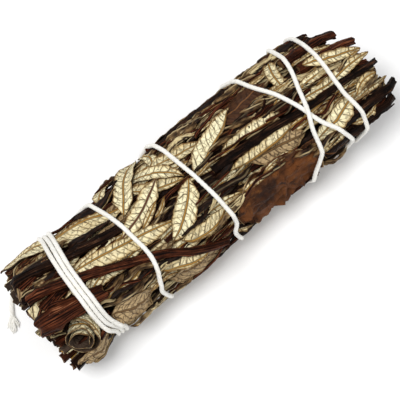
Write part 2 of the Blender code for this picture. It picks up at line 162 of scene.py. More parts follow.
def endAt(deg):
    return np.maximum(45.3 + 4.7 * np.cos(np.radians(deg - 50)), 42.8) + unevenCut(deg)


def trimmed(route, spare):
    # the part of a fine route between the two cuts
    deg = route[:, 1] * degPerMm
    return route[(route[:, 0] > startAt(deg) - spare) & (route[:, 0] < endAt(deg) + spare)]


def between(table, a, b, ease=lambda part: part):
    # what a table that repeats both ways holds at places between its cells
    i = np.floor(a).astype(int)
    j = np.floor(b).astype(int)
    rows, columns = table.shape
    shareA = ease(a - i)
    low, high = (table[i % rows, k % columns] * (1 - shareA) + table[(i + 1) % rows, k % columns] * shareA
                 for k in (j, j + 1))
    shareB = ease(b - j)
    return low * (1 - shareB) + high * shareB


class Grain:
    # smooth random heights over a plane, from -1 to 1
    def __init__(self, seed):
        self.table = np.random.default_rng(seed).uniform(-1, 1, (64, 64))

    def at(self, a, b):
        return between(self.table, a, b, lambda part: smooth(part, 0, 1))


grain = Grain(3)


# Twine route, needed first because the twine presses the leaves in

twine = {"radius": 0.58, "tieX": -41.0, "tieTurns": 3, "tiePitch": 1.17, "step": 0.35,
         "sides": 13, "pitch": 3.4, "lobes": 3, "lobeDepth": 0.1, "press": 0.5,
         "pressWidth": 2.6, "sink": 0.42, "cross": 170,
         "start": ((-2.6, 229), (-0.6, 246), (1.6, 270)),
         "tie": ((2.9, 296), (0.2, 360), (0.2, 405), (3.1, 450), (3.4, 500), (3.1, 570)),
         "turns": (
             ((-30.5, 235), (-25.0, 290), (-22.7, 360), (-22.0, 390), (-23.6, 425), (-23.0, 455)),
             ((-14.0, 190), (-4.4, 290), (-2.6, 345), (-1.2, 390), (-0.4, 425), (-0.8, 455)),
             ((9.0, 190), (19.8, 280), (23.4, 330), (26.4, 360), (29.2, 390), (32.6, 412), (35.2, 450)),
             ((35.8, 180), (36.6, 220), (38.8, 255), (39.8, 290), (38.8, 350), (38.0, 380), (39.2, 410),
              (38.6, 455)),
             ((38.2, 180), (37.6, 215), (35.8, 250), (34.2, 285), (33.0, 330), (29.9, 362), (27.0, 390),
              (26.0, 420), (23.2, 450), (22.0, 472), (20.8, 494)))}


def twineTurns():
    # places along the twine, and the angle at which its last turn crosses the one before
    points = [(twine["tieX"] + x, deg) for x, deg in twine["start"]]
    base = 0
    for turn in range(twine["tieTurns"]):
        tie = twine["tieX"] + turn * twine["tiePitch"]
        points += [(tie + x, base + deg) for x, deg in twine["tie"]]
        base += 360
    for turn in twine["turns"]:
        points += [(x, base + deg) for x, deg in turn]
        base += 360
    return points, base - 360 + twine["cross"]


# Height map of what is laid so far, one row for each degree
grid = dict(x=0.25, start=-60.0, columns=481, rows=360)


def pressMap():
    # how hard the twine presses at each cell, from 0 to 1
    route = curveThrough(unrolled(twineTurns()[0]), 2400)
    turnX = route[:, 0]
    turnDeg = route[:, 1] * degPerMm
    free = np.ones((grid["columns"], grid["rows"]))
    columns = grid["start"] + grid["x"] * np.arange(grid["columns"])
    for deg in range(math.ceil(turnDeg[0]), math.floor(turnDeg[-1]) + 1):
        x = np.interp(deg, turnDeg, turnX)
        free[:, deg % grid["rows"]] *= 1 - np.exp(-((columns - x) / twine["pressWidth"]) ** 2)
    return 1 - free


class Bundle:
    # how far from the middle line the pieces laid so far reach
    def __init__(self):
        self.r = np.full((grid["columns"], grid["rows"]), body["coreRadius"])
        self.press = pressMap()
        self.shown = np.zeros((grid["columns"], grid["rows"]))
        self.wide = None

    def cells(self, x, deg):
        column = (np.asarray(x) - grid["start"]) / grid["x"]
        return np.clip(column, 0, grid["columns"] - 1.001), np.asarray(deg)

    def nearest(self, x, deg):
        a, b = self.cells(finer(x), finer(deg))
        return np.rint(a).astype(int), np.rint(b).astype(int) % grid["rows"]

    def pressed(self, x, deg):
        return between(self.press, *self.cells(x, deg))

    def reach(self, x, deg):
        if self.wide is None:
            wide = np.maximum(self.r, np.maximum(np.roll(self.r, -1, 1), np.roll(self.r, 1, 1)))
            ends = np.pad(wide, ((1, 1), (0, 0)), "edge")
            self.wide = np.maximum(wide, np.maximum(ends[2:], ends[:-2]))
        return between(self.wide, *self.cells(x, deg))

    def lay(self, x, deg, r):
        np.maximum.at(self.r, self.nearest(x, deg), finer(r))
        self.wide = None

    def keepShown(self, x, deg):
        self.shown[self.nearest(x, deg)] = 1

    def isShown(self, route):
        # share of a route that would cover a leaf that is meant to be seen
        line = curveThrough(unrolled(route), 14)
        return between(self.shown, *self.cells(line[:, 0], line[:, 1] * degPerMm)).mean()


def finer(table):
    # twice as fine both ways
    for _ in range(2):
        middle = (table[1:] + table[:-1]) / 2
        out = np.empty((len(table) + len(middle),) + table.shape[1:])
        out[0::2] = table
        out[1::2] = middle
        table = out.T
    return table


# Mesh making

class Shape:
    # vertices, faces, UVs in millimetres and named values of one or more joined bodies
    def __init__(self):
        self.verts = []
        self.faces = []
        self.uvs = []
        self.values = {}
        self.total = 0

    def addRings(self, places, across, along, wrap=0, **values):
        # closed rings of points from end to end; across and along are each ring point's UV
        n, m = places.shape[:2]
        across = np.broadcast_to(across, (n, m))
        along = np.broadcast_to(along, (n, m))
        areas = np.cross(places, np.roll(places, -1, 1)).sum(1)
        if (areas * np.gradient(places.mean(1), axis=0)).sum() > 0:
            # turned over, so that its faces point outwards
            places, across, along = (part[:, ::-1] for part in (places, across, along))
            wrap = -wrap
            values = {key: value[:, ::-1] if np.ndim(value) else value for key, value in values.items()}
        corner = self.total + np.arange(n * m).reshape(n, m)
        self.verts.append(places.reshape(-1, 3))
        self.faces += fourCorners(corner, np.roll(corner, -1, 1)).tolist()
        u = fourCorners(across, np.concatenate([across[:, 1:], across[:, -1:] + wrap], 1))
        self.uvs.append(np.stack([u.ravel(), fourCorners(along, along).ravel()], -1))
        for end, order in ((0, 1), (-1, -1)):
            self.verts.append(places[end].mean(0)[None])
            rim = corner[end][::order].tolist()
            self.faces += [(a, b, self.total + n * m - end) for a, b in zip(rim, rim[1:] + rim[:1])]
            self.uvs.append(np.array([(across[end].mean(), along[end].mean())] * (3 * m)))
        for name, value in values.items():
            value = np.broadcast_to(value, (n, m)).reshape(-1)
            ends = (1, 1) if name == "cap" else (value[:m].mean(), value[-m:].mean())
            self.values.setdefault(name, []).append(np.concatenate([value, ends]))
        self.total += n * m + 2

    def finish(self, name, material):
        mesh = bpy.data.meshes.new(name)
        mesh.from_pydata(np.vstack(self.verts).tolist(), [], self.faces)
        layer = mesh.uv_layers.new(name="flat")
        layer.data.foreach_set("uv", np.vstack(self.uvs).astype(np.float32).ravel())
        for key, parts in self.values.items():
            attribute = mesh.attributes.new(key, "FLOAT", "POINT")
            attribute.data.foreach_set("value", np.concatenate(parts).astype(np.float32))
        mesh.shade_smooth()
        mesh.set_sharp_from_angle(angle=math.radians(50))
        mesh.materials.append(material)
        piece = bpy.data.objects.new(name, mesh)
        bpy.context.scene.collection.objects.link(piece)
        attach(piece, "root")
        return piece


def fourCorners(here, after):
    # what each face between two rings has at its corners
    return np.stack([here[:-1], here[1:], after[1:], after[:-1]], -1).reshape(-1, 4)


def thereAndBack(front, back):
    # round a thin piece: along its front face, then back along the other
    return np.concatenate([front, back[:, ::-1]], 1)


def standFor(node, shape, kind):
    # one finished piece in the place of one solid
    first, *others = node.split("_")
    piece = shape.finish(first + "".join(word.capitalize() for word in others), finishes[kind])
    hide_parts(node)


def joinUp(name, shapes):
    # small pieces of the same finish make one mesh
    for kind, shape in shapes.items():
        piece = shape.finish(name + kind[0].upper() + kind[1:], finishes[kind])


# Leaves

veinStep = 1.75

leaf = dict(station=0.45, column=0.42, gap=0.06, thick=0.28, rimThick=0.16, scallop=0.035, scallopLength=1.7)

anyLeaf = dict(curl=0.0, rim=0.0, rib=0.0, ribWidth=0.4, ridge=0.0, pillow=0.0, crumple=0.0)

leafStyles = {
    "pale": dict(level=14.0, curl=0.10, rim=0.3, rib=0.2, ribWidth=0.3, wrinkle=0.14, stiff=30, arch=0.35,
                 pillow=0.07),
    "olive": dict(level=13.6, curl=0.05, rim=0.2, rib=0.15, ribWidth=0.25, wrinkle=0.3, stiff=16, arch=0.4,
                  pillow=0.05),
    "dark": dict(level=13.2, curl=-0.06, rib=-0.15, wrinkle=0.34, stiff=14, arch=0.4, pillow=0.1),
    "brown": dict(level=13.8, curl=-0.04, rim=0.1, rib=0.15, wrinkle=0.55, stiff=12, arch=0.5, pillow=0.1),
    "broad": dict(level=13.6, rim=0.5, crumple=0.8, wrinkle=0.5, stiff=20, arch=0.3),
    "fold": dict(level=12.8, wrinkle=0.25, stiff=13, ridge=1.1, arch=0.6),
}


def leafOutline(t, tip, stalk, blunt):
    # half-width along a lance-shaped leaf, 1 at its widest
    rounded = np.maximum(1 - np.abs(2 * t - 1) ** blunt, 0) ** 0.7
    ends = smoothSteps(t, ((0, stalk), (0.22, 1), (0.66, 1), (1, tip)))
    return np.maximum(rounded * ends, 0.07)


def eased(r):
    # each height drawn towards the ones before and after it
    s = r.copy()
    s[1:-1] = (r[:-2] + 2 * r[1:-1] + r[2:]) / 4
    return s


def leafSheet(shape, route, width, kind, tip=0.55, stalk=0.6, offset=0.0, wave=0.0, tone=None,
              lift=0.0, cap=99.0, detail=1.0, rust=0.0, show=False, blunt=4.4, **changes):
    # a thin leaf draped over what is below it; offset moves its midrib towards an edge, and
    # over cap it sinks in among the others
    style = {**anyLeaf, **leafStyles[kind], **changes}
    seed = chance.uniform(0, 50)
    tone = chance.uniform() if tone is None else tone
    whole = curveThrough(unrolled(route), 60)
    route = trimmed(whole, 0.9 if show else chance.uniform(-1.0, 1.1))
    if len(route) < len(whole):
        blunt = 14
    route, normal, length, t = stations(route, leaf["station"], detail)
    along = t * length
    half = width / 2 * leafOutline(t, tip, stalk, blunt)
    u = np.linspace(-1, 1, 2 * max(3, round(width / 2 * detail / leaf["column"])) + 1)[None]
    u = np.sign(u) * np.abs(u) ** 0.85
    edge = np.abs(u)
    if wave:
        sway = wave * (np.sin(along * 2 * math.pi / 9 + seed) + 0.5 * grain.at(along / 2.2, along * 0 + seed))
        route = route + sway * normal
    scallop = np.sin(along * 2 * math.pi / leaf["scallopLength"] + np.where(u < 0, 1.7, 0) + seed)
    scallop = leaf["scallop"] * scallop * (edge > 0.6)
    scallop = scallop + 0.09 * grain.at(along / 2.4 + seed, np.sign(u) * 3.0 + seed)
    side = half * u * np.where(edge > 0.5, 1 + scallop * min(1, 6 / width), 1)
    x, deg = beside(route, normal, side)

    base = np.minimum(bundle.reach(x, deg), cap) + leaf["gap"] + leaf["thick"] * 0.5
    press = 1 - twine["press"] * bundle.pressed(x, deg)
    arch = 1 - style["arch"] * np.abs(2 * t - 1) ** 2.2
    core = body["coreRadius"]
    r = np.maximum(base, core + (style["level"] - core) * (arch * press - 0.075 * u ** 2))
    for _ in range(style["stiff"]):
        s = eased(eased(r).T).T
        s[:, 0] = (s[:, 0] + s[:, 1]) / 2
        s[:, -1] = (s[:, -1] + s[:, -2]) / 2
        r = np.maximum(base, s)
    middle = side - offset * half
    veins = (along - 0.45 * np.abs(middle) - 0.12 * middle ** 2) / veinStep
    rise = (style["curl"] * np.abs(side) ** 1.6
            + style["rim"] * smooth(edge, 0.78, 1.0) * np.minimum(1, half)
            + style["rib"] * np.exp(-(middle / style["ribWidth"]) ** 2)
            + style["ridge"] * (1 - edge) ** 0.8 * np.sin(np.pi * t) ** 0.4
            + style["wrinkle"] * grain.at(side / 1.5 + seed, along / 1.9 + 2 * seed)
            + 0.5 * style["wrinkle"] * grain.at(side / 0.7 + seed, along / 0.8 + seed)
            + style["crumple"] * (1 - 2 * np.abs(grain.at(side / 3.1 + seed, along / 2.6 + 5)) ** 0.7)
            + style["pillow"] * np.abs(np.sin(np.pi * veins)) * (edge < 0.95)
            + lift * (1 - smooth(along, 0, 4)))
    r = np.maximum(base, r + rise)
    bundle.lay(x, deg, r)
    if show:
        inner = edge[0] < 0.7
        bundle.keepShown(x[:, inner], deg[:, inner])

    thick = leaf["rimThick"] + (leaf["thick"] - leaf["rimThick"]) * (1 - u ** 2)
    places = thereAndBack(inWorld(x, deg, r - thick), inWorld(x, deg, r))
    shape.addRings(places, thereAndBack(middle, middle), along + 40 * tone, tone=tone, half=half,
                   under=thereAndBack(0 * u + 1, 0 * u), rim=thereAndBack(edge, edge), rust=rust)


# Stems

def restingHeight(route, normal, size, widest, gap, cap=99.0):
    # how far out the middle of a round piece lies on what is below it
    reach = 0
    for side in (-widest, -0.4, 0, 0.4, widest):
        below = np.minimum(bundle.reach(*beside(route, normal, side * size)), cap)
        reach = np.maximum(reach, below + size * math.sqrt(1 - side ** 2) + gap)
    return reach


stem = dict(ring=0.42, step=0.6, gap=0.05, taper=0.85)


def stemTube(shape, route, radius, level, cap, tone=None, stiff=60, rough=0.12, sway=0.0,
             spare=None, show=False):
    tone = chance.uniform() if tone is None else tone
    seed = chance.uniform(0, 50)
    spare = chance.uniform(-1.0, 1.4) if spare is None else spare
    route = trimmed(curveThrough(unrolled(route), 60), spare)
    route, normal, length, t = stations(route, stem["step"])
    along = t * length
    if sway:
        route = route + sway * grain.at(along / 5 + seed, along * 0 + seed) * normal
    size = radius * (1 + (stem["taper"] - 1) * t)
    reach = restingHeight(route, normal, size, 0.8, stem["gap"], cap)
    press = 1 - 0.35 * bundle.pressed(*beside(route, normal, 0))
    core = body["coreRadius"]
    r = np.maximum(reach, core + (level - core) * press)
    for _ in range(stiff):
        r = np.maximum(reach, eased(r))
    m = max(8, round(2 * math.pi * radius / stem["ring"]))
    turn = anglesOf(m)
    ridges = 1 + rough * grain.at(turn * 1.9 + seed, along / 7.0 + seed)
    ridges += 0.6 * rough * grain.at(turn * 4.1 + seed, along / 3.0 + 2 * seed)
    for knot in np.arange(chance.uniform(1, 6), length, chance.uniform(5, 9)):
        where = chance.uniform(0, 2 * math.pi)
        near = np.exp(-((along - knot) / 0.7) ** 2)
        ridges += near * (0.08 + 0.3 * np.maximum(np.cos(turn - where), 0) ** 2)
    x, deg = beside(route, normal, size * ridges * np.cos(turn))
    x[[0, -1]] += 0.35 * radius * grain.at(turn * 1.3 + seed, turn * 0 + seed)
    rings = r + size * ridges * np.sin(turn)
    bundle.lay(*(np.concatenate([part, part[:, :1]], 1) for part in (x, deg, rings)))
    if show:
        bundle.keepShown(x, deg)
    shape.addRings(inWorld(x, deg, rings), turn * radius, along + 40 * tone,
                   wrap=2 * math.pi * radius / m, cap=0, tone=tone)


# Shader maths

class Value:
    # one socket of a material's nodes; sums on it add Math nodes
    def __init__(self, tree, socket=None):
        self.tree = tree
        self.socket = socket

    def add(self, kind, inputs, output=0, **settings):
        node = self.tree.nodes.new(kind)
        for key, value in settings.items():
            setattr(node, key, value)
        for key, value in inputs.items():
            if isinstance(value, Value):
                self.tree.links.new(value.socket, node.inputs[key])
            else:
                node.inputs[key].default_value = value
        return Value(self.tree, node.outputs[output])

    def out(self, index):
        return Value(self.tree, self.socket.node.outputs[index])

    def maths(self, operation, *values):
        return self.add("ShaderNodeMath", dict(enumerate(values)), operation=operation)

    def __add__(self, other):
        return self.maths("ADD", self, other)

    def __sub__(self, other):
        return self.maths("SUBTRACT", self, other)

    def __rsub__(self, other):
        return self.maths("SUBTRACT", other, self)

    def __mul__(self, other):
        return self.maths("MULTIPLY", self, other)

    def __truediv__(self, other):
        return self.maths("DIVIDE", self, other)

    def __abs__(self):
        return self.maths("ABSOLUTE", self)

    __radd__ = __add__
    __rmul__ = __mul__

    def below(self, low, high):
        # 1 under low, falling smoothly to 0 at high
        return 1 - self.above(low, high)

    def above(self, low, high):
        return self.add("ShaderNodeMapRange", {0: self, 1: low, 2: high}, interpolation_type="SMOOTHSTEP")

    def atLeast(self, other):
        return self.maths("MAXIMUM", self, other)

    def blend(self, first, second):
        # colours mixed by this value
        first, second = ((*colour, 1) if isinstance(colour, tuple) else colour for colour in (first, second))
        return self.add("ShaderNodeMix", {0: self, 6: first, 7: second}, output=2, data_type="RGBA")

    def noise(self, vector, scale, detail=2.0, rough=0.5):
        inputs = {"Vector": vector, "Scale": scale, "Detail": detail, "Roughness": rough}
        return self.add("ShaderNodeTexNoise", inputs)

    def stretch(self, vector, factors, operation="MULTIPLY"):
        return self.add("ShaderNodeVectorMath", {0: vector, 1: factors}, operation=operation)

    def parts(self, vector):
        return self.add("ShaderNodeSeparateXYZ", {0: vector})

    def named(self, name):
        return self.add("ShaderNodeAttribute", {}, output=2, attribute_name=name)

    def flat(self):
        # the piece's own millimetres, across and along
        return self.add("ShaderNodeUVMap", {}, uv_map="flat")

    def wire(self, name, value):
        self.tree.links.new(value.socket, self.socket.node.inputs[name])

    def bump(self, height, depth):
        self.wire("Normal", self.add("ShaderNodeBump", {"Height": height, "Distance": depth * mm}))


def newMaterial(name, roughness, shine=0.5, **sockets):
    # a material and the Value of its shader, whose inputs the finish is wired to
    material = bpy.data.materials.new(name)
    material.use_nodes = True
    shader = material.node_tree.nodes["Principled BSDF"]
    shader.inputs["Roughness"].default_value = roughness
    shader.inputs["Specular IOR Level"].default_value = shine
    for socket, value in sockets.items():
        shader.inputs[socket].default_value = value
    return material, Value(material.node_tree, shader.outputs[0])


# rim colours a thin line along the margin: on pale and olive leaves it is partly the margin's own colour,
# partly painted shade of the curled margin; on dark and brown leaves it is partly the margin's own colour,
# partly a painted highlight on the lit edge
leafColours = {
    "pale": dict(cell=(0.96, 0.89, 0.6), cell2=(0.64, 0.49, 0.24), vein=(0.045, 0.026, 0.01),
                 rib=(0.36, 0.18, 0.03), rim=(0.15, 0.075, 0.02), under=(0.05, 0.03, 0.018), net=0.75,
                 roughness=0.78, shine=0.25),
    "olive": dict(cell=(0.5, 0.36, 0.19), cell2=(0.24, 0.145, 0.065), vein=(0.03, 0.015, 0.006),
                  rib=(0.16, 0.085, 0.03), rim=(0.3, 0.2, 0.09), under=(0.05, 0.03, 0.018), net=0.85,
                  roughness=0.68, shine=0.2),
    "dark": dict(cell=(0.004, 0.002, 0.0016), cell2=(0.03, 0.013, 0.007), vein=(0.008, 0.004, 0.003),
                 rib=(0.13, 0.055, 0.02), rim=(0.3, 0.19, 0.08), under=(0.3, 0.23, 0.12), net=0.4,
                 roughness=0.42, shine=0.05),
    "brown": dict(cell=(0.085, 0.034, 0.014), cell2=(0.03, 0.013, 0.007), vein=(0.04, 0.016, 0.008),
                  rib=(0.2, 0.085, 0.03), rim=(0.12, 0.05, 0.02), under=(0.12, 0.06, 0.03), net=0.45,
                  roughness=0.5, shine=0.12),
}


rustyRib = (0.11, 0.032, 0.012)


def leafFinish(kind):
    # felt cells between a midrib, curved side veins and a fine net, all in the leaf's own millimetres
    colours = leafColours[kind]
    material, root = newMaterial(kind + "Leaf", colours["roughness"], colours["shine"])
    flat = root.flat()
    shake = root.stretch(root.noise(flat, 0.42, 2.5).out(1), (0.5, 0.5, 0.5), "SUBTRACT")
    warped = root.stretch(flat, root.stretch(shake, (0.7, 1.5, 0.0)), "ADD")
    plain = root.parts(flat)
    bent = root.parts(warped)
    side = plain.above(-0.01, 0.01)
    phase = (bent.out(1) - 0.45 * abs(bent) - 0.12 * bent * bent + 0.8 * side) / veinStep
    distance = (0.5 - abs(phase.maths("FRACT", phase) - 0.5)) * veinStep
    sideVein = distance.below(0.07, 0.22) * (0.5 + 0.5 * root.noise(flat, 0.7, 1.0).above(0.35, 0.6))
    cells = root.add("ShaderNodeTexVoronoi", {"Vector": warped, "Scale": 0.85}, feature="DISTANCE_TO_EDGE")
    net = cells.below(0.03, 0.12) * (0.25 + 0.6 * root.noise(flat, 0.9, 1.0).above(0.38, 0.62))
    ribScale = abs(plain) / (0.5 + 0.2 * root.named("half"))
    midrib = ribScale.below(0.12, 0.24)
    ribShade = ribScale.below(0.24, 0.42) - midrib
    felt = root.noise(flat, 7.0, 3.0)
    blotch = root.noise(flat, 0.16, 3.0).above(0.38, 0.68)
    edge = (1 - root.named("rim")) * root.named("half")
    # blotches and tone are the leaf's own colour; the darkening towards the margin is partly its own golden
    # colour, partly painted shade where the margin curls
    shade = 0.35 * blotch + 0.35 * root.named("tone") + 0.45 * edge.below(0.1, 0.9)
    # painted shade in the hollows of the puffed cells, beside the side veins
    shade = shade + 0.25 * distance.below(0.1, 0.6)
    colour = shade.maths("MINIMUM", shade, 1.0).blend(colours["cell"], colours["cell2"])
    lines = (sideVein * 0.9).atLeast(net * colours["net"]).atLeast(ribShade * 0.85)
    colour = lines.blend(colour, colours["vein"])
    colour = midrib.blend(colour, root.named("rust").blend(colours["rib"], rustyRib))
    # margin line: the margin's own colour, with painted shade of the curl on pale and olive leaves and a
    # painted highlight on dark and brown leaves
    rim = edge.below(0.12, 0.3) * (0.5 + 0.5 * root.noise(flat, 1.1).above(0.3, 0.6))
    colour = rim.blend(colour, colours["rim"])
    colour = root.named("under").above(0.4, 0.6).blend(colour, colours["under"])
    root.wire("Base Color", root.stretch(colour, 0.82 + 0.36 * felt))
    height = 0.5 + 0.6 * midrib - 0.5 * lines + 0.22 * felt + 0.5 * cells.above(0.0, 0.35)
    root.bump(height, 0.25)
    root.wire("Roughness", colours["roughness"] - 0.15 + 0.3 * felt)
    return material


def foldFinish():
    # dark leaves folded lengthwise, with thin broken pale lines along their crests: partly pale margins,
    # partly a painted highlight where the crest is lit
    material, root = newMaterial("foldedLeaf", 0.45, 0.09)
    flat = root.flat()
    tone = root.named("tone")
    long = root.stretch(flat, (1.0, 0.14, 1.0))
    streaks = root.noise(long, 2.6, 4.0, 0.6)
    colour = streaks.above(0.4, 0.75).blend((0.004, 0.0022, 0.0017), (0.05, 0.021, 0.01))
    brown = tone.above(0.4, 0.6) * root.noise(flat, 0.3, 2.0).above(0.35, 0.6)
    colour = brown.blend(colour, streaks.above(0.35, 0.7).blend((0.03, 0.014, 0.006), (0.24, 0.145, 0.06)))
    colour = (tone.above(0.76, 0.88) * streaks.above(0.4, 0.6)).blend(colour, (0.62, 0.51, 0.28))
    # pale line on the crest: partly the pale margin, partly a painted highlight
    crest = abs(root.parts(flat)).below(0.06, 0.24) * root.noise(long, 1.2, 2.0).above(0.4, 0.56)
    crest = crest * tone.above(0.15, 0.5)
    colour = (crest * 0.9).blend(colour, streaks.blend((0.24, 0.15, 0.06), (0.66, 0.54, 0.31)))
    root.wire("Base Color", colour)
    root.bump(streaks + 0.3 * root.noise(flat, 5.0, 2.0), 0.25)
    root.wire("Roughness", 0.28 + 0.4 * streaks)
    return material


def broadFinish():
    # a crumpled rust-brown leaf, with painted light on its crease crests and painted shade in its creases
    material, root = newMaterial("broadLeaf", 0.6, 0.12)
    flat = root.flat()
    large = root.noise(flat, 0.12, 3.0, 0.6)
    creases = root.noise(root.stretch(flat, (1.0, 0.5, 1.0)), 0.45, 5.0, 0.65)
    fine = root.noise(flat, 3.2, 4.0, 0.7)
    colour = large.above(0.36, 0.6).blend((0.035, 0.013, 0.006), (0.15, 0.05, 0.014))
    # painted light on the crests of the creases
    colour = (creases.above(0.55, 0.68) * 0.55).blend(colour, (0.25, 0.092, 0.022))
    # painted shade in the creases
    colour = (creases.below(0.36, 0.46) * 0.85).blend(colour, (0.022, 0.009, 0.005))
    edge = (1 - root.named("rim")) * root.named("half")
    # painted shade darkening towards the margin
    colour = (edge.below(0.3, 2.2) * 0.5).blend(colour, (0.03, 0.013, 0.007))
    # pale tan line along the margin: partly its own colour, partly a painted highlight on the crinkled rim
    colour = (edge.below(0.15, 0.45) * large.above(0.45, 0.6)).blend(colour, (0.5, 0.34, 0.17))
    root.wire("Base Color", root.stretch(colour, 0.3 + 1.35 * fine))
    root.bump(creases + 0.6 * fine, 0.7)
    root.wire("Roughness", 0.45 + 0.3 * creases)
    return material


def barkFinish(name, dark, red, light):
    # fibrous bark with resin on it, and paler wood on the cut ends; its pale streaks and specks are partly
    # pale fibres, partly painted highlights on the glossy resin
    material, root = newMaterial(name + "Bark", 0.5, 0.04, **{"Coat Roughness": 0.25})
    flat = root.flat()
    fibres = root.noise(root.stretch(flat, (1.0, 0.03, 1.0)), 3.4, 3.0, 0.6)
    broad = root.noise(root.stretch(flat, (0.6, 0.22, 1.0)), 1.0, 3.0)
    specks = root.noise(flat, 3.6, 2.0)
    colour = fibres.above(0.38, 0.62).blend(dark, red)
    colour = (broad.below(0.4, 0.62) * (1 - 0.6 * root.named("tone"))).blend(colour, dark)
    # pale streaks along the fibres: partly pale fibres, partly painted highlights on the resin
    colour = (fibres.above(0.6, 0.7) * broad.above(0.4, 0.6)).blend(colour, light)
    # pale specks: partly light fibres, partly painted glints on the resin
    colour = (specks.above(0.68, 0.74) * 0.5).blend(colour, light)
    wood = root.noise(flat, 3.0, 3.0).blend((0.02, 0.009, 0.005), (0.22, 0.12, 0.05))
    root.wire("Base Color", root.named("cap").above(0.08, 0.3).blend(colour, wood))
    root.bump(fibres + 0.4 * specks, 0.4)
    root.wire("Roughness", 0.3 + 0.4 * fibres)
    root.wire("Coat Weight", specks.above(0.64, 0.7) * 0.3)
    return material


def twineFinish():
    material, root = newMaterial("cottonTwine", 0.9, **{"Sheen Weight": 0.3})
    flat = root.flat()
    plain = root.parts(flat)
    slant = plain.out(0) * 1.6 + plain.out(1)
    fibres = root.noise(root.add("ShaderNodeCombineXYZ", {0: slant * 3.0, 1: plain.out(1) * 0.35}), 1.2, 3.0)
    # darker streaks along the twist: partly fibre colour, partly painted shade between the plies
    colour = fibres.above(0.25, 0.7).blend((0.74, 0.71, 0.63), (0.93, 0.92, 0.88))
    colour = (root.noise(flat, 0.35, 2.0).above(0.55, 0.8) * 0.35).blend(colour, (0.8, 0.74, 0.6))
    root.wire("Base Color", colour)
    root.bump(fibres, 0.12)
    return material


finishes = {kind: leafFinish(kind) for kind in leafColours}
finishes["fold"] = foldFinish()
finishes["broad"] = broadFinish()
# the last colour of each bark is its pale fibres together with painted highlights
finishes["bark"] = barkFinish("reddish", (0.003, 0.0012, 0.001), (0.12, 0.031, 0.012), (0.34, 0.15, 0.07))
finishes["darkBark"] = barkFinish("dark", (0.002, 0.001, 0.0008), (0.03, 0.012, 0.006), (0.17, 0.08, 0.04))
finishes["twine"] = twineFinish()
print("materials made")


# Stems and folded leaves in the middle, which show at the two ends

inside = dict(start=-48.5, end=40.5, stemRadius=2.5, stemRing=3.15, stems=3, rollThick=1.7, rollWidth=3.3,
              rollRing=7.6, rolls=7, sides=26)


def insideTube(node, deg, ring, radius, flat, kind, twist, furrow):
    start = inside["start"] + chance.uniform(-1.6, 1.6)
    end = inside["end"] + chance.uniform(-3.0, 2.6)
    seed = chance.uniform(0, 50)
    along = np.linspace(start, end, 90)[:, None]
    turn = anglesOf(inside["sides"])
    size = 1 + furrow * grain.at(turn * 1.6 + seed, along / 6 + seed)
    size = size + 0.5 * furrow * grain.at(turn * 4.3 + seed, along / 3 + seed)
    side = radius * size * np.cos(turn)
    up = ring + radius * size * flat * np.sin(turn)
    x = along + 0.5 * grain.at(turn * 1.2 + seed, 0 * turn + seed)
    angle = math.radians(deg) + np.radians(twist * x / 50) + np.arctan2(side, up)
    shape = Shape()
    shape.addRings(inWorld(x, np.degrees(angle), np.hypot(side, up)), turn * radius, along, under=0, rim=0,
                   wrap=2 * math.pi * radius / inside["sides"], cap=0, tone=chance.uniform(), half=radius)
    standFor(node, shape, kind)


for i in range(inside["stems"]):
    insideTube(f"stem_{i + 1:02d}", 360 / inside["stems"] * i, inside["stemRing"],
               inside["stemRadius"], 1, "bark", 6, 0.12)
for i in range(inside["rolls"]):
    insideTube(f"folded_leaf_{i + 1:02d}", 360 / inside["rolls"] * (i + 0.35), inside["rollRing"],
               inside["rollWidth"], inside["rollThick"] / inside["rollWidth"], "dark", -5, 0.3)
print("inside made")


# Ends of the many stems and rolled leaves in the bundle's two cut faces

rolled = dict(place=(-45.2, 46, 12.2), inner=1.5, outer=4.2, turns=2.4, thick=0.2, bottom=-2.4, top=2.7,
              fall=1.3, flare=0.5, lean=38, sides=96, rings=15)

endBits = dict(count=110, radius=12.0, depth=11.0, proud=(-1.6, 1.0), twig=(0.5, 1.7), strip=(2.0, 4.8),
               thick=(0.16, 0.3), rings=10, sides=12, kinds="fold fold bark bark pale olive darkBark")


def twigOutline():
    # a round twig's cut, a little out of round, and its UV
    turn = anglesOf(endBits["sides"])[0]
    size = chance.uniform(*endBits["twig"])
    size = size * (1 + 0.2 * grain.at(turn * 1.7 + chance.uniform(0, 40), 0 * turn))
    return size * np.cos(turn), size * np.sin(turn), turn * size.mean(), 0 * turn


def stripOutline():
    # a leaf's curled cut: there and back along a bent line
    half = chance.uniform(*endBits["strip"]) / 2
    s = np.linspace(-half, half, 9)
    step = s[1] - s[0]
    curve = chance.uniform(-1.1, 1.1) + 0 * s
    heading = np.cumsum(curve + 0.8 * grain.at(s * 1.2 + chance.uniform(0, 40), 0 * s)) * step
    a = np.cumsum(np.cos(heading)) * step
    b = np.cumsum(np.sin(heading)) * step
    thick = chance.uniform(*endBits["thick"]) / 2
    offA = thick * np.sin(heading)
    offB = thick * np.cos(heading)
    side = np.concatenate([a - offA, (a + offA)[::-1]]) - a.mean()
    up = np.concatenate([b + offB, (b - offB)[::-1]]) - b.mean()
    return side, up, np.concatenate([s, s[::-1]]), np.concatenate([0 * s, 0 * s + 1])


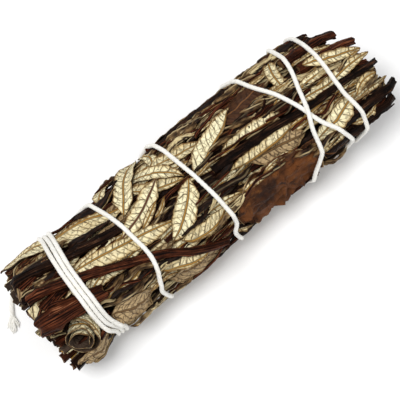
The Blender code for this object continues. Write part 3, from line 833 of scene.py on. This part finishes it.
def makeEnd(name, outwards):
    shapes = {}
    for i in range(endBits["count"]):
        kind = anyOf(endBits["kinds"])
        twig = kind in ("bark", "darkBark")
        side, up, flat, under = twigOutline() if twig else stripOutline()
        r = endBits["radius"] * math.sqrt(chance.uniform())
        deg = chance.uniform(0, 360)
        if outwards < 0 and r > 7.5 and abs(deg - rolled["place"][1]) < 24:
            # room for the rolled leaf
            r -= 5
        spin = chance.uniform(0, math.pi)
        side, up = side * math.cos(spin) - up * math.sin(spin), side * math.sin(spin) + up * math.cos(spin)
        t = np.linspace(0, 1, endBits["rings"])[:, None]
        ragged = 0.5 * grain.at(flat * 1.6 + i, 0 * flat)
        middle, skin = (45.0, endAt(deg)) if outwards > 0 else (-50.2, startAt(deg))
        cut = middle + (skin - outwards * 0.3 - middle) * r / 12
        x = cut + outwards * (chance.uniform(*endBits["proud"]) + ragged * (1 - t) - endBits["depth"] * t)
        grow = 1 + 0.16 * grain.at(t * 4 + i, 0 * t)
        y = side * grow + 0.7 * grain.at(t * 2.2 + 3 * i, 0 * t)
        z = r + up * grow + 0.5 * grain.at(t * 2.2 + 5 * i, 0 * t)
        places = inWorld(x, np.degrees(np.arctan2(y, z)) + deg, np.hypot(y, z))
        values = dict(tone=chance.uniform(), cap=0)
        if not twig:
            values = dict(tone=chance.uniform(), under=under[None], rim=0.5, half=1.5, rust=0)
        shapes.setdefault(kind, Shape()).addRings(places, flat, t * endBits["depth"], **values)
    joinUp(name, shapes)


makeEnd("tiedEnd", -1)
makeEnd("farEnd", 1)
print("ends made")

bundle = Bundle()


# Layers of small pieces. Under the leaves that show come many narrow dark leaves and twigs; the deeper layers
# take darker tones, painted shade in the gaps between the pieces above

anyLayer = dict(detail=1.0, band=(0, 360), span=(-60, 60), tones=(0, 1), lean=12)

layers = {
    "deepLayer": dict(level=10.9, cap=11.3, count=120, lengths=(22, 42), widths=(2.6, 4.2),
                      kinds="fold fold fold twig dark", detail=0.5, tones=(0, 0.3)),
    "middleLayer": dict(level=12.0, cap=12.4, count=150, lengths=(12, 30), widths=(1.5, 3.0),
                        kinds="fold fold fold twig twig dark pale pale olive brown", detail=0.7,
                        tones=(0, 0.7)),
    "upperLayer": dict(level=12.5, cap=12.9, count=90, lengths=(9, 24), widths=(1.3, 2.8), lean=16,
                       kinds="fold fold pale pale twig olive", band=(-80, 104)),
    "topLayer": dict(level=13.6, cap=14.3, count=130, lengths=(5, 17), widths=(0.8, 1.7), lean=14,
                     kinds="fold fold fold pale twig twig", detail=1.1, band=(-84, 106)),
    "tiedEndLayer": dict(level=12.4, cap=12.9, count=90, lengths=(5, 13), widths=(1.2, 2.8),
                         kinds="fold fold dark twig twig olive brown", span=(-53, -37), tones=(0, 0.9)),
    "wavyFolds": dict(level=12.9, cap=13.4, count=30, lengths=(9, 19), widths=(1.3, 2.2), lean=7,
                      kinds="fold fold fold twig", detail=1.3, band=(-36, 12), span=(2, 33),
                      tones=(0.25, 0.68)),
    "farStrips": dict(level=13.1, cap=13.6, count=56, lengths=(8, 19), widths=(0.9, 1.7), lean=9,
                      kinds="pale pale pale fold twig", detail=1.1, band=(-72, 34), span=(18, 51)),
}
layers["topLayerBehind"] = dict(layers["topLayer"], count=80, band=(106, 276))
layers["farEndLayer"] = dict(layers["tiedEndLayer"], span=(33, 51.5))


def pieceRoute(layer):
    length = chance.uniform(*layer["lengths"])
    deg = chance.uniform(*layer["band"])
    first = max(layer["span"][0], startAt(deg))
    last = min(layer["span"][1], endAt(deg))
    length = min(length, last - first)
    x = chance.uniform(first, last - length * 0.8)
    tilt = chance.uniform(-layer["lean"], layer["lean"])
    bend = chance.uniform(-4, 4)
    last = min(x + length, last + chance.uniform(-1, 1.5))
    return ((x, deg), (x + length / 2, deg + tilt / 2 + bend), (last, deg + tilt))


def layPieces(name, tries=40, mostCover=0.09):
    # a route that would cover too much of a leaf that is meant to be seen is drawn again
    layer = {**anyLayer, **layers[name]}
    level, cap, detail = (layer[key] for key in ("level", "cap", "detail"))
    shapes = {}
    for _ in range(layer["count"]):
        kind = anyOf(layer["kinds"])
        width = chance.uniform(*layer["widths"])
        tone = chance.uniform(*layer["tones"])
        for _ in range(tries):
            route = pieceRoute(layer)
            if bundle.isShown(route) < mostCover:
                break
        shape = shapes.setdefault("bark" if kind == "twig" else kind, Shape())
        if kind == "twig":
            stemTube(shape, route, width * 0.25, level - 0.4, cap, sway=0.5, stiff=12, tone=tone)
        elif kind == "fold":
            leafSheet(shape, route, width, kind, level=level, cap=cap, tone=tone, detail=detail,
                      ridge=chance.uniform(0.4, 1.0), wave=chance.uniform(0, 0.35))
        else:
            leafSheet(shape, route, width * 1.25, kind, level=level + 0.2, cap=cap, detail=detail,
                      wave=chance.uniform(0, 0.3), curl=0.14)
    joinUp(name, shapes)


layPieces("deepLayer")
layPieces("middleLayer")
print("deep and middle layers made")


# Leaves on the side and the back that the picture hides: x range, angle, lean, width, kind

backLeaves = (
    ((-50, -26), 84, 5, 9.0, "olive"),
    ((-51, -9), 119, 8, 9.0, "dark"),
    ((-50, -4), 160, -7, 9.5, "pale"),
    ((-51, -10), 197, 6, 10.0, "brown"),
    ((-49, -5), 229, 7, 9.5, "pale"),
    ((-50, -8), 264, -7, 9.5, "dark"),
    ((27, 44), 84, 6, 9.5, "dark"),
    ((-16, 45), 120, -8, 9.5, "olive"),
    ((-11, 43), 161, 6, 9.5, "dark"),
    ((-17, 44), 198, -6, 9.5, "pale"),
    ((-12, 45), 231, 6, 9.5, "dark"),
    ((-14, 42), 266, -6, 9.5, "olive"),
)

for i, ((start, end), deg, lean, width, kind) in enumerate(backLeaves):
    route = ((start, deg - lean), ((start + end) / 2, deg + lean * 0.3), (end, deg + lean))
    shape = Shape()
    leafSheet(shape, route, width, kind, level=13.4, wave=0.5, wrinkle=0.35, show=True)
    standFor(f"back_leaf_{i + 1:02d}", shape, kind)
print("back leaves made")

# Stems on the outside: node, route from the tied end, radius, bark
outerStems = (
    ("dark_stem_01", ((-50.5, -40), (-44, -31), (-38, -23), (-30, -14), (-22, -6)), 1.2, "darkBark"),
    ("dark_stem_02", ((-52.5, 11), (-47.5, 15), (-42, 19), (-35.5, 26)), 2.0, "bark"),
    ("tip_stem_01", ((32, -36), (40.5, -36), (48.6, -42)), 1.35, "bark"),
    ("tip_stem_02", ((34, -18), (41, -16), (50.5, -15)), 1.2, "bark"),
    ("tip_stem_03", ((33, 48), (40, 49), (51.5, 53)), 1.3, "darkBark"),
    ("tip_stem_04", ((34, 66), (41, 68), (49.5, 72)), 1.2, "darkBark"),
)
# These two lie over the leaves
topStems = (
    ("dark_stem_03", ((2, 8), (10, 9.5), (20, 12), (30, 16), (40, 16), (50, 18)), 0.9, "darkBark"),
    ("red_stem", ((-50.5, -12), (-45.5, -7), (-38, 3), (-31, 15), (-20.5, 35), (-12.5, 54),
                  (-4.5, 74)), 1.0, "bark"),
)


def makeStems(rows, level, cap):
    for node, route, radius, bark in rows:
        shape = Shape()
        stemTube(shape, route, radius, level, cap, rough=0.22, spare=3.0, show=True)
        standFor(node, shape, bark)


def makeRolledLeaf():
    # a leaf rolled into a scroll, its open end turned outwards beside the tie
    x, deg, r = rolled["place"]
    centre = inWorld(x, deg, r) / mm
    outwards = unit(inWorld(x, deg, r + 1) / mm - centre)
    lean = math.radians(rolled["lean"])
    axis = outwards * math.cos(lean) - np.array((1, 0, 0)) * math.sin(lean)
    first = unit(np.cross(axis, (0.2, 0.5, -0.8)))
    second = np.cross(axis, first)
    turn = np.linspace(0, 2 * math.pi * rolled["turns"], rolled["sides"])[:, None]
    share = turn / turn[-1]
    t = np.linspace(0, 1, rolled["rings"])[None]
    size = rolled["inner"] + (rolled["outer"] - rolled["inner"]) * share
    size = size * (1 + 0.13 * grain.at(turn * 0.8, 0 * turn + 5)) + rolled["flare"] * t ** 2
    size = size + 0.2 * grain.at(turn * 1.7 + 9, t * 3) * (0.4 + t)
    top = rolled["top"] - rolled["fall"] * share + 0.9 * grain.at(turn * 1.1 + 4, 0 * turn)
    height = rolled["bottom"] + (top - rolled["bottom"]) * t
    middle = centre + height[..., None] * axis
    walls = (middle + aroundAxis(size + grow * rolled["thick"], turn, first, second) for grow in (0.5, -0.5))
    arc = np.concatenate([[[0]], np.cumsum(np.diff(turn, axis=0) * size[1:, :1], 0)])
    shape = Shape()
    shape.addRings(thereAndBack(*walls) * mm, thereAndBack(height, height), arc + 11, tone=0.35, half=3.0,
                   under=thereAndBack(0 * t, 0 * t + 0.75), rim=thereAndBack(t, t), rust=0)
    standFor("rolled_leaf", shape, "pale")
    ring = anglesOf(24, 1)
    spread = np.linspace(0.2, 1.3, 8)[:, None] * rolled["outer"]
    around = (x + spread * np.cos(ring), deg + spread * np.sin(ring) * degPerMm)
    bundle.lay(*around, r + 2.0 + 0 * spread * ring)
    bundle.keepShown(*around)


makeRolledLeaf()
layPieces("tiedEndLayer")
layPieces("farEndLayer")
layPieces("upperLayer")
makeStems(outerStems, 12.6, 12.9)
print("stems made")

# Leaves on the side that the picture shows: kind, number, route, width, and what sets each apart
leafNodes = {"pale": "pale_leaf_{:02d}", "olive": "netted_leaf_{:02d}", "dark": "dark_leaf_{:02d}",
             "brown": "brown_leaf_{:02d}", "broad": "broad_brown_leaf"}
frontLeaves = (
    ("dark", 1, ((-4, -66), (6, -62), (17, -64), (29, -66)), 8.5, dict(level=14.2)),
    ("dark", 2, ((6, -16), (15, -12), (25, -12)), 7.0, {}),
    ("brown", 1, ((11, -24), (18, -28), (26, -34)), 6.0, dict(wrinkle=0.3)),
    ("olive", 1, ((-37, 58), (-31, 68), (-24, 74)), 7.5, {}),
    ("olive", 2, ((-21, 76), (-13, 82), (-4, 78)), 9.0, {}),
    ("olive", 3, ((10, 22), (18, 28), (26, 36)), 5.5, dict(pillow=0.0, level=14.1)),
    ("broad", 1, ((0.5, 63), (8, 69), (17, 74), (27, 75)), 17.5, dict(tip=0.7, stalk=0.7)),
    ("pale", 1, ((-50, -77), (-44, -66), (-39, -56), (-33, -49)), 7.6,
     dict(offset=-0.5, arch=0.0, blunt=7, lift=0.7)),
    ("pale", 2, ((-37.5, -48), (-30, -37), (-24, -29), (-19.5, -22)), 6.5, dict(offset=-0.75)),
    ("pale", 3, ((-38.5, -5), (-31, 3), (-24, 10), (-16, 17.5), (-12, 21)), 4.9, dict(offset=-0.3)),
    ("pale", 4, ((-13, -77), (-19, -69), (-22.5, -54)), 5.0, dict(tip=0.8)),
    ("pale", 5, ((-7.5, -70), (-6, -52), (-7.5, -36)), 4.0, {}),
    ("pale", 6, ((-9, -36), (-4, -31), (1, -27), (5, -23)), 5.0, {}),
    ("pale", 8, ((-16, -33), (-12.5, -18), (-7, -9), (-4.2, -4)), 3.6, dict(offset=0.3)),
    ("pale", 9, ((-15, -47), (-10, -29), (-5.5, -15), (-3.4, -7)), 4.4, {}),
    ("pale", 7, ((-20.5, -15), (-18.5, -25), (-14.5, -46), (-9, -72)), 6.6, dict(tip=0.95)),
    ("pale", 10, ((-1.6, -3), (3.5, -13), (9, -21), (15.5, -32)), 4.6, dict(offset=0.75)),
    ("pale", 11, ((-9.5, -17), (-16.5, -6), (-21, -1), (-24.5, 2)), 4.9, dict(rust=1.0)),
    ("pale", 12, ((-3.4, -1), (-6.5, 12.5), (-11, 25), (-15.8, 35)), 6.0, {}),
    ("pale", 13, ((-14, 38), (-6.5, 46), (-0.5, 44)), 4.2, dict(offset=0.75)),
    ("pale", 14, ((-5, -76), (3, -74), (11, -76)), 5.0, dict(offset=0.6)),
    ("pale", 15, ((7, -3), (17, 0), (25.5, 4)), 2.6, dict(offset=0.8)),
    ("pale", 16, ((27, 6), (33, 8), (37, 10), (43, 7), (52, 5)), 3.2, dict(blunt=14)),
    ("pale", 17, ((26, 52), (31, 44), (35, 38), (41, 31)), 4.6, {}),
    ("pale", 18, ((31, -54), (29, -33), (28, -12)), 4.0, dict(level=14.5)),
    ("pale", 19, ((5, 18), (15, 19), (25, 19)), 2.8, dict(offset=0.8)),
    ("pale", 20, ((35, -17), (42, -8), (51, -2)), 3.2, dict(wrinkle=0.5, blunt=14)),
    ("pale", 21, ((-22, 51), (-16, 57), (-9, 63)), 3.6, dict(offset=0.6)),
)

paleNarrower = 0.82

for kind, number, route, width, changes in frontLeaves:
    shape = Shape()
    width *= paleNarrower if kind == "pale" else 1
    leafSheet(shape, route, width, kind, show=kind != "dark", **changes)
    standFor(leafNodes[kind].format(number), shape, kind)
layPieces("wavyFolds")
layPieces("farStrips")
makeStems(topStems, 13.6, 14.2)
layPieces("topLayer")
layPieces("topLayerBehind")
print("front leaves made")


# Twine

def makeTwine():
    turns, crossingStart = twineTurns()
    route = unrolled(turns)
    length = steps(curveThrough(route, 900)).sum()
    print("twine length on the leaves, mm:", round(length))
    route = curveThrough(route, round(length / twine["step"]))
    normal = sideways(route)
    radius = twine["radius"]
    split = int(np.searchsorted(route[:, 1] * degPerMm, crossingStart))
    r = np.zeros((len(route), 1))

    def settle(part):
        # pulled straight between bumps, in the plane across the bundle
        reach = restingHeight(route[part], normal[part], radius, 0.75, -twine["sink"])
        turn = np.radians(route[part, 1:] * degPerMm)
        height = reach.copy()
        for _ in range(900):
            y = height * np.sin(turn)
            z = height * np.cos(turn)
            height[1:-1] = np.maximum(reach[1:-1], np.hypot(y[:-2] + y[2:], z[:-2] + z[2:]) / 2)
        r[part] = height

    # The last turn crosses over the one before it
    settle(slice(0, split))
    part = slice(int(split * 0.6), split)
    ring = anglesOf(12, 1)
    around = beside(route[part], normal[part], radius * np.cos(ring))
    bundle.lay(*around, r[part] + radius * np.sin(ring))
    settle(slice(split, len(route)))
    return inWorld(route[:, 0], route[:, 1] * degPerMm, r[:, 0])


def twistedCord(shape, path, sizes):
    # a cord of plies twisted together along a path of world points
    along = passed(path)[:, None] / mm
    tangent = unit(np.gradient(path, axis=0))
    normal = np.cross(tangent[0], (0.3, 0.5, 0.8))
    normals = []
    for direction in tangent:
        normal = unit(normal - direction * np.dot(normal, direction))
        normals.append(normal)
    normals = np.array(normals)
    others = np.cross(tangent, normals)
    angle = anglesOf(twine["sides"])
    twist = 2 * math.pi * along / twine["pitch"]
    lobe = 1 - twine["lobeDepth"] * (1 - np.abs(np.cos(twine["lobes"] / 2 * (angle - twist)))) * 2.2
    size = sizes[:, None] * (lobe + 0.05 * grain.at(angle * 2.1, along / 0.9))
    places = path[:, None] + mm * aroundAxis(size, angle, normals[:, None], others[:, None])
    places[..., 2] = np.maximum(places[..., 2], 0)
    shape.addRings(places, angle * twine["radius"], along, tone=0.5,
                   wrap=2 * math.pi * twine["radius"] / twine["sides"])


tail = {"route": ((-53.4, 9.2, 0.75), (-52.3, 10.8, 0.65), (-50.4, 13.2, 0.6), (-48.4, 15.0, 0.8),
                  (-46.4, 14.9, 2.3)),
        "strands": 56, "length": (2.6, 4.6), "spread": 0.54, "strand": (0.14, 0.26), "sides": 6}


def frayedEnd(shape, tip, heading):
    # the cord's last few millimetres come apart into soft strands
    across = np.array((-heading[1], heading[0], 0))
    ring = anglesOf(tail["sides"])
    t = np.linspace(0, 1, 12)[:, None]
    for i in range(tail["strands"]):
        spread = chance.uniform(-1, 1)
        lift = chance.uniform()
        length = chance.uniform(*tail["length"]) * (1 - 0.35 * abs(spread))
        turn = spread * tail["spread"]
        way = heading * math.cos(turn) + across * math.sin(turn)
        line = tip + 0.25 * across * spread - heading * 0.5 + way * t * length
        line = line + across * 0.28 * grain.at(t * 2.5 + i, t * 0 + i)
        rise = (lift * 0.9 - 0.35) * np.sin(math.pi * t[:, 0]) - 0.2 * t[:, 0]
        line[:, 2] = np.maximum(0.16, tip[2] + rise)
        size = chance.uniform(*tail["strand"]) * (1 - 0.75 * t ** 2)
        places = line[:, None] + aroundAxis(size, ring, across, np.array((0, 0, 1)))
        shape.addRings(places * mm, ring * 0.2, t * length, wrap=0.2, tone=0.5)


path = makeTwine()
loose = np.array(tail["route"]) + (body["shiftX"], body["shiftY"], 0)
path = np.vstack([curveThrough(np.vstack([loose * mm, path[0]]), 44)[:-1], path])
thickness = np.full(len(path), twine["radius"])
thickness[:12] *= np.linspace(1.15, 1, 12)
thickness[-6:] *= np.array((1.1, 1.3, 1.5, 1.5, 1.2, 0.8))
shape = Shape()
twistedCord(shape, path, thickness)
frayedEnd(shape, loose[0], unit((loose[0] - loose[1]) * (1, 1, 0)))
standFor("twine", shape, "twine")
print("twine made")


# Floor, light and camera

stage = dict(floor=3.0, distance=0.42, azimuth=-40.7, elevation=73.0, lens=158.0, target=(-2.2, -1.2))

lamps = dict(key=((-0.24, 0.02, 0.8), 0.3, 5.2), fill=((0.45, -0.35, 0.5), 0.5, 1.0))


def lookAlong(direction):
    return Vector(direction).to_track_quat("-Z", "Y").to_euler()


def makeFloor():
    bpy.ops.mesh.primitive_plane_add(size=stage["floor"], location=(0, 0, -0.0002))
    floor = bpy.context.object
    floor.name = "floor"
    material, root = newMaterial("paleFloor", 0.8)
    soft = root.noise(root.add("ShaderNodeTexCoord", {}).out(3), 6.0)
    root.wire("Base Color", soft.blend((0.93, 0.93, 0.93), (0.96, 0.96, 0.96)))
    floor.data.materials.append(material)


def makeLights():
    world = bpy.data.worlds.new("studio")
    world.use_nodes = True
    world.node_tree.nodes["Background"].inputs[0].default_value = (1, 1, 1, 1)
    world.node_tree.nodes["Background"].inputs[1].default_value = 0.5
    bpy.context.scene.world = world
    for name, (place, size, power) in lamps.items():
        light = bpy.data.lights.new(name, "AREA")
        light.size = size
        light.energy = power
        lamp = bpy.data.objects.new(name, light)
        lamp.location = place
        lamp.rotation_euler = lookAlong(-Vector(place))
        bpy.context.scene.collection.objects.link(lamp)


def makeCamera():
    a = math.radians(stage["azimuth"])
    e = math.radians(stage["elevation"])
    back = np.array((math.sin(a) * math.cos(e), -math.cos(a) * math.cos(e), math.sin(e)))
    target = np.array((stage["target"][0] + body["shiftX"], stage["target"][1] + body["shiftY"],
                       body["floorDepth"])) * mm
    data = bpy.data.cameras.new("camera")
    data.lens = stage["lens"]
    data.sensor_width = 36
    camera = bpy.data.objects.new("camera", data)
    camera.location = target + back * stage["distance"]
    camera.rotation_euler = lookAlong(-back)
    bpy.context.scene.collection.objects.link(camera)
    bpy.context.scene.camera = camera


makeFloor()
makeLights()
makeCamera()
bpy.context.scene.view_settings.view_transform = "Standard"
print("stage made")
